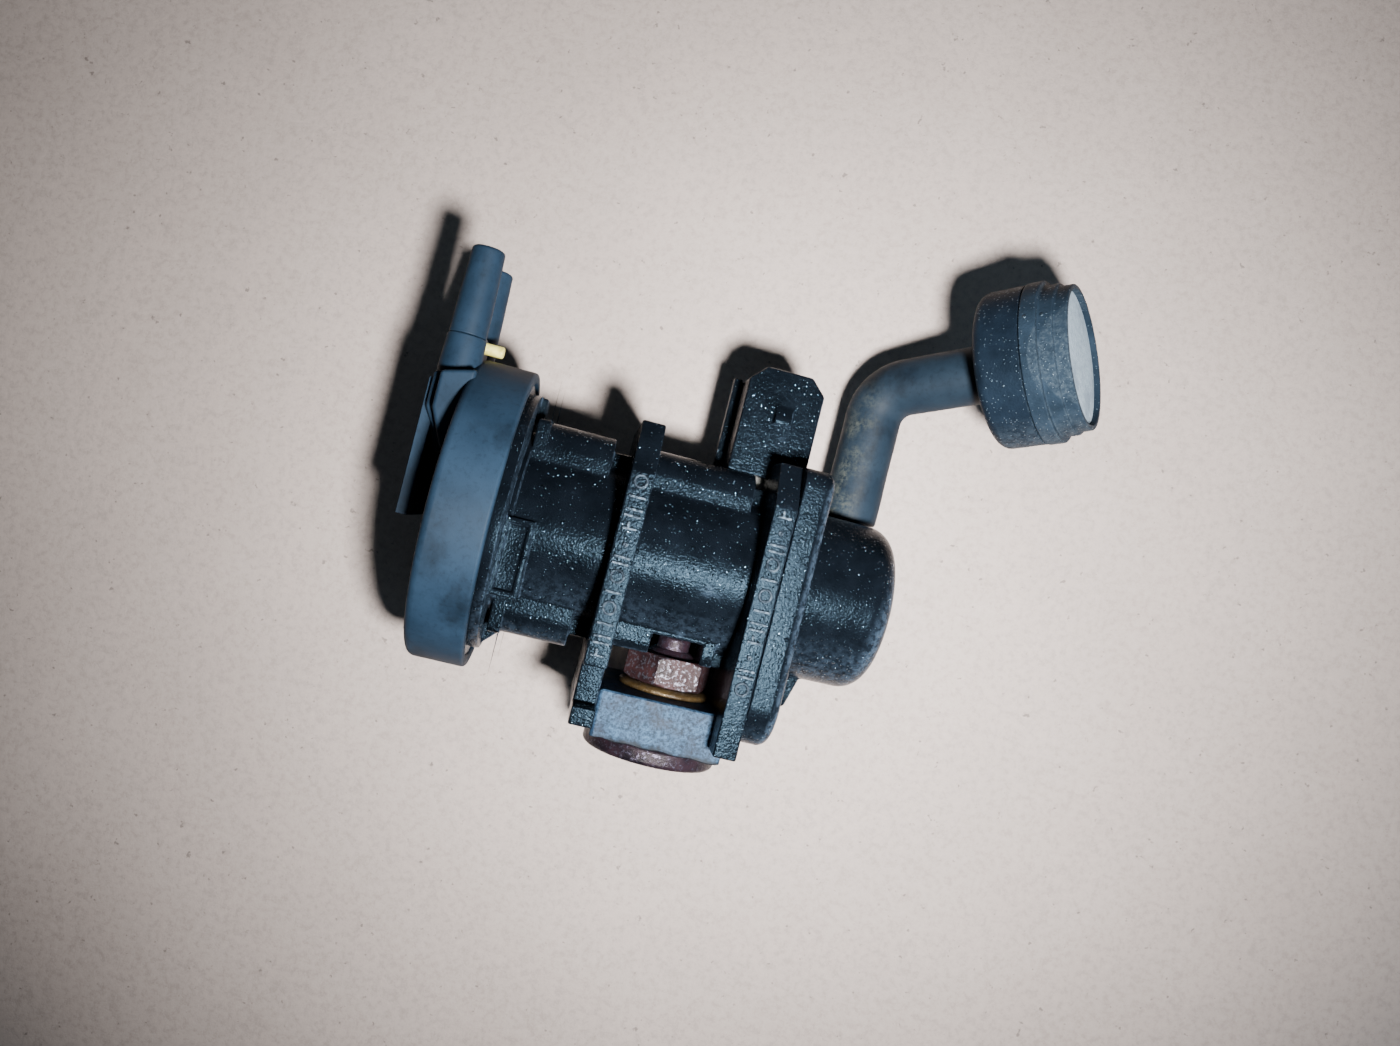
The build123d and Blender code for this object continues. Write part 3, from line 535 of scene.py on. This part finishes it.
# Vent hose: a moulded rubber elbow with even walls. It grips the dome's spigot and the
# filter's inlet. Road dust has stuck to its lower leg, with a few dark oil spots.
SPIGOT = Vector((26.3, AH + 14.6, -9.2))
HOSE_CORNER = Vector((26.3, AH + 38.8, -9.2))
FILTER_BACK = Vector((41.8, AH + 44.9, 3.5))
BEND = 7.0
HOSE_RADIUS = 5.0
HOSE_BORE = 3.25
filter_joint = [joint for joint in frame["joints"] if joint["name"] == "filter_cover_pull"][0]
FILTER_AXIS = Vector(filter_joint["axis"]).normalized()
UP = Vector((0, 1, 0))


def grow(mesh, loop, advance):
    """Extend a loop of edges straight, and give back the new loop."""
    made = bmesh.ops.extrude_edge_only(mesh, edges=loop)["geom"]
    fresh = [item for item in made if isinstance(item, bmesh.types.BMVert)]
    bmesh.ops.translate(mesh, verts=fresh, vec=advance)
    kept = set(fresh)
    return [item for item in made if isinstance(item, bmesh.types.BMEdge)
            and item.verts[0] in kept and item.verts[1] in kept]


def elbow_wall(mesh, radius):
    """One wall of the elbow: straight, round the bend, straight. Gives back both end loops."""
    lie = Matrix.Translation(SPIGOT * MM) @ Matrix.Rotation(-math.pi / 2, 4, "X")
    ring = bmesh.ops.create_circle(mesh, segments=64, radius=radius * MM, matrix=lie)["verts"]
    first = list({edge for vertex in ring for edge in vertex.link_edges})
    turn = UP.angle(FILTER_AXIS)
    reach = BEND * math.tan(turn / 2)
    straight = (HOSE_CORNER - SPIGOT).length - reach
    loop = first
    for _ in range(12):
        loop = grow(mesh, loop, UP * straight * MM / 12)
    bend_axis = UP.cross(FILTER_AXIS).normalized()
    inward = bend_axis.cross(UP).normalized()
    bend_middle = (HOSE_CORNER - UP * reach + inward * BEND) * MM
    rim = list({vertex for edge in loop for vertex in edge.verts})
    spun = bmesh.ops.spin(mesh, geom=rim + loop, cent=bend_middle, axis=bend_axis, angle=turn, steps=18)
    loop = [item for item in spun["geom_last"] if isinstance(item, bmesh.types.BMEdge)]
    straight = (FILTER_BACK - HOSE_CORNER).length - reach
    for _ in range(8):
        loop = grow(mesh, loop, FILTER_AXIS * straight * MM / 8)
    return first, loop


elbow = bmesh.new()
outer_ends = elbow_wall(elbow, HOSE_RADIUS)
inner_ends = elbow_wall(elbow, HOSE_BORE)
for outer, inner in zip(outer_ends, inner_ends):
    bmesh.ops.bridge_loops(elbow, edges=outer + inner)
bmesh.ops.recalc_face_normals(elbow, faces=elbow.faces)
soften(elbow, 0.5 * MM, 3, 60.0)
UNEVEN = 0.10 * MM
for vertex in elbow.verts:
    drift = smooth_noise.noise(vertex.co * 120.0) * UNEVEN
    vertex.co.x += drift
    vertex.co.z += drift

hose_rubber = rubber("hose rubber", (0.0045, 0.009, 0.0155), (0.009, 0.017, 0.027), (0.002, 0.003, 0.0045))
side_of_hose = coordinate(hose_rubber, "X")
up_hose = coordinate(hose_rubber, "Y")
dust_left = figure(hose_rubber, "SUBTRACT", 1.0, between(hose_rubber, side_of_hose, 0.0225, 0.0275))
dust_low = figure(hose_rubber, "SUBTRACT", 1.0, between(hose_rubber, up_hose, 0.062, 0.076))
dust_patch = figure(hose_rubber, "MULTIPLY", dust_left, dust_low)
dust_grain = ramp(hose_rubber, cloud(hose_rubber, 1500.0, 6.0, 0.8), (0.40, 0.0), (0.58, 1.0))
dust_cloud = ramp(hose_rubber, cloud(hose_rubber, 260.0, 4.0, 0.6), (0.40, 0.1), (0.60, 1.0))
dust = figure(hose_rubber, "MULTIPLY", figure(hose_rubber, "MULTIPLY", dust_patch, dust_grain), dust_cloud)
hose_base = hose_rubber.node_tree.nodes["Principled BSDF"].inputs["Base Color"].links[0]
hose_tone = (hose_base.from_node, 2)
to_shader(hose_rubber, "Base Color", blended(hose_rubber, dust, hose_tone, (0.040, 0.046, 0.042)))
finished("vent_hose_elbow", elbow, "vent_line", "hose_rubber", hose_rubber, "vent_hose")


# Filter: a two-part plastic can. The cup has the hose inlet and holds a foam pad; the stepped
# cap snaps over it and is open at its outer end, where a pale felt disc keeps the dirt out.
CUP_RADIUS = 13.4
CUP_END = 7.8
BAND_END = 10.5
STEP_END = 12.9
FILTER_END = 15.0
BAND_RADIUS = 13.55
STEP_RADIUS = 12.6
LIP_RADIUS = 12.1
MOUTH_RADIUS = 11.3

filter_plastic = plastic("filter plastic", (0.0032, 0.0056, 0.0095), (0.024, 0.036, 0.050), 0.44,
                         (0.55, 0.80, 1.0))
cup = turned([(0, 0), (0, CUP_RADIUS), (CUP_END - 0.2, CUP_RADIUS), (CUP_END - 0.2, CUP_RADIUS - 0.5),
              (CUP_END, CUP_RADIUS - 0.5), (CUP_END, CUP_RADIUS - 1.5), (1.5, CUP_RADIUS - 1.5), (1.5, 0)],
             128)
soften(cup, 1.8 * MM, 5, near=lambda point: point.x < 0.0005 and point.yz.length > 0.012)
soften(cup, 0.15 * MM, 2, near=lambda point: point.x > 0.005)
lay_along(cup, FILTER_BACK, FILTER_AXIS)
inlet = turned([(-6.0, 2.2), (-6.0, 3.2), (0.8, 3.2), (0.8, 2.2)], 48, closed=True)
add_shell(cup, lay_along(inlet, FILTER_BACK, FILTER_AXIS))
finished("filter_cup_shell", cup, "vent_line", "filter_plastic", filter_plastic, "filter_cup")

cap_ring = turned([(CUP_END, BAND_RADIUS), (BAND_END, BAND_RADIUS), (BAND_END, STEP_RADIUS),
                   (STEP_END, STEP_RADIUS), (STEP_END, LIP_RADIUS), (FILTER_END, LIP_RADIUS),
                   (FILTER_END, MOUTH_RADIUS), (CUP_END, MOUTH_RADIUS)], 128, closed=True)
soften(cap_ring, 0.28 * MM, 3, near=lambda point: point.yz.length > 0.0116)
lay_along(cap_ring, FILTER_BACK, FILTER_AXIS)
# The cap ring is a lighter copy of the filter plastic: partly more dust, partly painted light for the band's
# brighter lighting beside the cup's shaded side.
cap_plastic_painted_lighter = plastic("filter cap plastic painted lighter", (0.0072, 0.0122, 0.019), (0.028, 0.040, 0.053), 0.46,
                      (0.60, 0.82, 1.0))
finished("filter_cap_ring", cap_ring, "filter_cover", "filter_plastic", cap_plastic_painted_lighter, "filter_cap")

felt = new_material("felt", roughness=0.95, specular=0.15)
felt_fibre = cloud(felt, 1100.0, 6.0, 0.75)
felt_tone = ramp(felt, felt_fibre, (0.32, (0.21, 0.27, 0.33)), (0.62, (0.36, 0.45, 0.53)))
felt_stain = ramp(felt, cloud(felt, 120.0, 4.0), (0.48, 0.0), (0.62, 0.6))
to_shader(felt, "Base Color", blended(felt, felt_stain, felt_tone, (0.15, 0.19, 0.24)))
bump(felt, felt_fibre, 0.5, 0.0003)
felt_disc = turned([(11.2, 0), (11.2, MOUTH_RADIUS - 0.02), (14.0, MOUTH_RADIUS - 0.02), (14.1, 8.0),
                    (14.15, 0)], 96)
lay_along(felt_disc, FILTER_BACK, FILTER_AXIS)
finished("filter_felt", felt_disc, "filter_cover", "felt", felt, "filter_disc")


# Isolator block: hand-trimmed soft rubber between the flanges, bonded to a steel sleeve. Its
# lower edge is ragged where it has swelled over the bolt's head.
BLOCK_LOW, BLOCK_HIGH = (Vector(corner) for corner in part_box("isolator_block"))
FLANGE_FACE = -11.05 * MM
BLOCK_INSET = 0.02 * MM

block_rubber = rubber("block rubber", (0.010, 0.024, 0.048), (0.034, 0.074, 0.130), (0.006, 0.013, 0.024),
                      320.0)
block_tone = (block_rubber.node_tree.nodes["Principled BSDF"].inputs["Base Color"].links[0].from_node, 2)
# Painted shade: a near-black band, 1-2 mm high with a ragged top, along the block's lower edge where it meets the
# bolt's head.
shade_band_edge = figure(block_rubber, "ADD", coordinate(block_rubber, "Y"),
                     figure(block_rubber, "MULTIPLY", cloud(block_rubber, 500.0, 4.0), 0.0016))
above_shade_band = between(block_rubber, shade_band_edge, BLOCK_LOW.y + 0.0009, BLOCK_LOW.y + 0.0019)
speckle = ramp(block_rubber, cloud(block_rubber, 1700.0, 4.0, 0.8), (0.40, 0.30), (0.60, 1.25))
block_tone = blended(block_rubber, 1.0, block_tone, speckle, "MULTIPLY")
to_shader(block_rubber, "Base Color", blended(block_rubber, above_shade_band, (0.004, 0.006, 0.009), block_tone))
isolator = bmesh.new()
block_size = Vector((BLOCK_HIGH.x - FLANGE_FACE - BLOCK_INSET, BLOCK_HIGH.y - BLOCK_LOW.y,
                     BLOCK_HIGH.z - BLOCK_LOW.z))
block_middle = Vector(((FLANGE_FACE + BLOCK_INSET + BLOCK_HIGH.x) / 2,
                       (BLOCK_LOW.y + BLOCK_HIGH.y) / 2, (BLOCK_LOW.z + BLOCK_HIGH.z) / 2))
bmesh.ops.create_cube(isolator, size=1.0,
                      matrix=Matrix.Translation(block_middle) @ Matrix.Diagonal((*block_size, 1.0)))
bmesh.ops.subdivide_edges(isolator, edges=isolator.edges[:], cuts=31, use_grid_fill=True)
soften(isolator, 0.6 * MM, 3, 60.0)
for vertex in isolator.verts:
    wave = smooth_noise.noise(vertex.co * 350.0) * 0.12 * MM
    low_edge = max(0.0, 1.0 - (vertex.co.y - BLOCK_LOW.y) / (1.6 * MM))
    along_edge = Vector((vertex.co.x * 420.0, vertex.co.z * 120.0, 3.1))
    ragged = low_edge * (smooth_noise.noise(along_edge) * 0.5 * MM)
    outside = (vertex.co - block_middle).normalized()
    vertex.co += outside * (wave - 0.12 * MM)
    vertex.co.y += ragged * 0.8
tongue = box_shell((-14.8, AH - 26.9, -8.9), (-10.8, AH - 23.6, 8.9), 0.3)
add_shell(isolator, tongue)
finished("isolator_rubber", isolator, "valve", "block_rubber", block_rubber, "isolator_block")


# Fasteners: a broad-headed bolt, a domed washer and a hex nut, all steel with most of the
# plating gone. The faces are pitted and red-brown, and bare metal sparkles on the high spots.
def corroded(name, dark, rust, bare, sparkle):
    """Steel that has lost its plating: pits, rust and bright grains of bare metal."""
    material = new_material(name, roughness=0.42, specular=0.16)
    pits = cloud(material, 1700.0, 5.0, 0.7)
    patches = cloud(material, 260.0, 4.0, 0.6)
    tone = ramp(material, patches, (0.36, dark), (0.62, rust))
    shine = ramp(material, pits, (0.54, 0.0), (0.61, sparkle))
    to_shader(material, "Base Color", blended(material, shine, tone, bare))
    to_shader(material, "Metallic", ramp(material, pits, (0.50, 0.10), (0.61, 0.9)))
    to_shader(material, "Roughness", ramp(material, patches, (0.3, 0.30), (0.7, 0.50)))
    bump(material, patches, 0.25, 0.0002)
    bump(material, pits, 0.75, 0.00014)
    return material


rusty_steel = corroded("rusty steel", (0.007, 0.004, 0.005), (0.026, 0.011, 0.012), (0.17, 0.17, 0.21), 0.8)
# A darker copy of the rusty steel, for the bolt: partly the head's own dark tone, partly painted shade for a head
# lying mostly in shade.
rusty_steel_painted_darker = corroded("rusty steel painted darker", (0.004, 0.003, 0.005), (0.014, 0.007, 0.011),
                       (0.13, 0.12, 0.17), 0.4)
plated_steel = corroded("worn plating", (0.017, 0.010, 0.004), (0.050, 0.032, 0.012),
                        (0.30, 0.23, 0.14), 0.4)

nut = plain_mesh("hex_nut")
soften(nut, 0.18 * MM, 2)
finished("hex_nut_worn", nut, "valve", "rusty_steel", rusty_steel, "hex_nut")

WASHER_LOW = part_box("plain_washer")[0][1] / MM
WASHER_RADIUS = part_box("plain_washer")[1][0] / MM
washer = turned([(0.0, 4.1), (0.0, WASHER_RADIUS), (0.7, WASHER_RADIUS), (1.2, WASHER_RADIUS - 0.9),
                 (1.3, 4.1)], 96, closed=True)
soften(washer, 0.25 * MM, 3)
lay_along(washer, (0, WASHER_LOW, 0), UP_Y)
finished("washer_domed", washer, "valve", "plated_steel", plated_steel, "plain_washer")

HEAD_RADIUS = 11.3
HEAD_TOP = 3.0
THREAD_TOP = 17.9
BOLT_END = 20.4
THREAD_PITCH = 1.25
outline = [(0.0, 0.0), (0.0, HEAD_RADIUS), (HEAD_TOP, HEAD_RADIUS), (HEAD_TOP, 3.95)]
ridge = THREAD_TOP
thread = []
while ridge > HEAD_TOP + THREAD_PITCH:
    thread += [(ridge, 3.35), (ridge - THREAD_PITCH / 2, 3.98)]
    ridge -= THREAD_PITCH
outline += [(ridge, 3.35)] + thread[::-1]
outline += [(THREAD_TOP + 0.2, 2.75), (BOLT_END - 0.5, 2.75), (BOLT_END, 2.25), (BOLT_END, 0.0)]
bolt = turned(outline, 72)
soften(bolt, 0.8 * MM, 4, near=lambda point: point.yz.length > 0.0110)
soften(bolt, 0.2 * MM, 2, near=lambda point: point.x > (BOLT_END - 0.8) * MM and point.yz.length > 0.0015)
lay_along(bolt, (0, 0, 0), UP_Y)
finished("fixing_bolt_worn", bolt, "valve", "rusty_steel", rusty_steel_painted_darker, "fixing_bolt")


# Inner parts and small metalwork: the coil on its bobbin, the magnet steel, the brass seat,
# the springs, seals and terminals. They keep their own shapes and get their real finishes.
def worn(name, low, high, roughness, metallic, scale, relief, stretch=(1.0, 1.0, 1.0)):
    material = new_material(name, roughness=roughness, metallic=metallic)
    body = cloud(material, scale, 5.0, 0.65, stretch)
    to_shader(material, "Base Color", ramp(material, body, (0.32, low), (0.68, high)))
    to_shader(material, "Roughness", ramp(material, body, (0.3, roughness - 0.08), (0.7, roughness + 0.1)))
    bump(material, body, 0.35, relief)
    return material


LENGTHWISE = (0.08, 1.0, 1.0)
AROUND = (14.0, 0.6, 0.6)
finish = {
    "black_plastic": black_plastic,
    "blue_rubber": blue_rubber,
    "yellow_plastic": yellow_plastic,
    "rusty_steel": rusty_steel,
    "plated_steel": plated_steel,
    "seal_rubber": worn("seal rubber", (0.010, 0.010, 0.012), (0.030, 0.030, 0.034),
                        0.6, 0.0, 800.0, 0.00005),
    "foam": worn("foam", (0.10, 0.10, 0.09), (0.26, 0.26, 0.23), 0.9, 0.0, 900.0, 0.0006),
    "bobbin_plastic": worn("bobbin nylon", (0.10, 0.10, 0.09), (0.16, 0.155, 0.14),
                           0.5, 0.0, 500.0, 0.00004),
    "brass": worn("brass", (0.42, 0.29, 0.10), (0.68, 0.50, 0.22), 0.3, 1.0, 900.0, 0.00003, LENGTHWISE),
    "copper_wire": worn("copper wire", (0.32, 0.10, 0.05), (0.62, 0.24, 0.11),
                        0.3, 1.0, 260.0, 0.0002, AROUND),
    "tinned_metal": worn("tinned metal", (0.44, 0.44, 0.43), (0.66, 0.66, 0.64), 0.3, 1.0, 700.0, 0.00003),
    "plain_steel": worn("plain steel", (0.25, 0.25, 0.26), (0.48, 0.48, 0.48), 0.38, 1.0, 600.0, 0.00004),
    "spring_steel": worn("spring steel", (0.30, 0.30, 0.31), (0.52, 0.52, 0.54), 0.3, 1.0, 900.0, 0.00002),
}
hidden = {"valve_housing", "end_cover", "plug_socket", "port_plate", "port_manifold", "vacuum_tube_upper",
          "vacuum_tube_lower", "vent_hose", "filter_cup", "filter_cap", "filter_disc", "isolator_block",
          "hex_nut", "plain_washer", "fixing_bolt"}
for part in frame["record"]["subparts"]:
    if part["node"] not in hidden:
        node = nodes[part["node"]]
        node.data.materials.clear()
        node.data.materials.append(finish[part["material_slot"]])
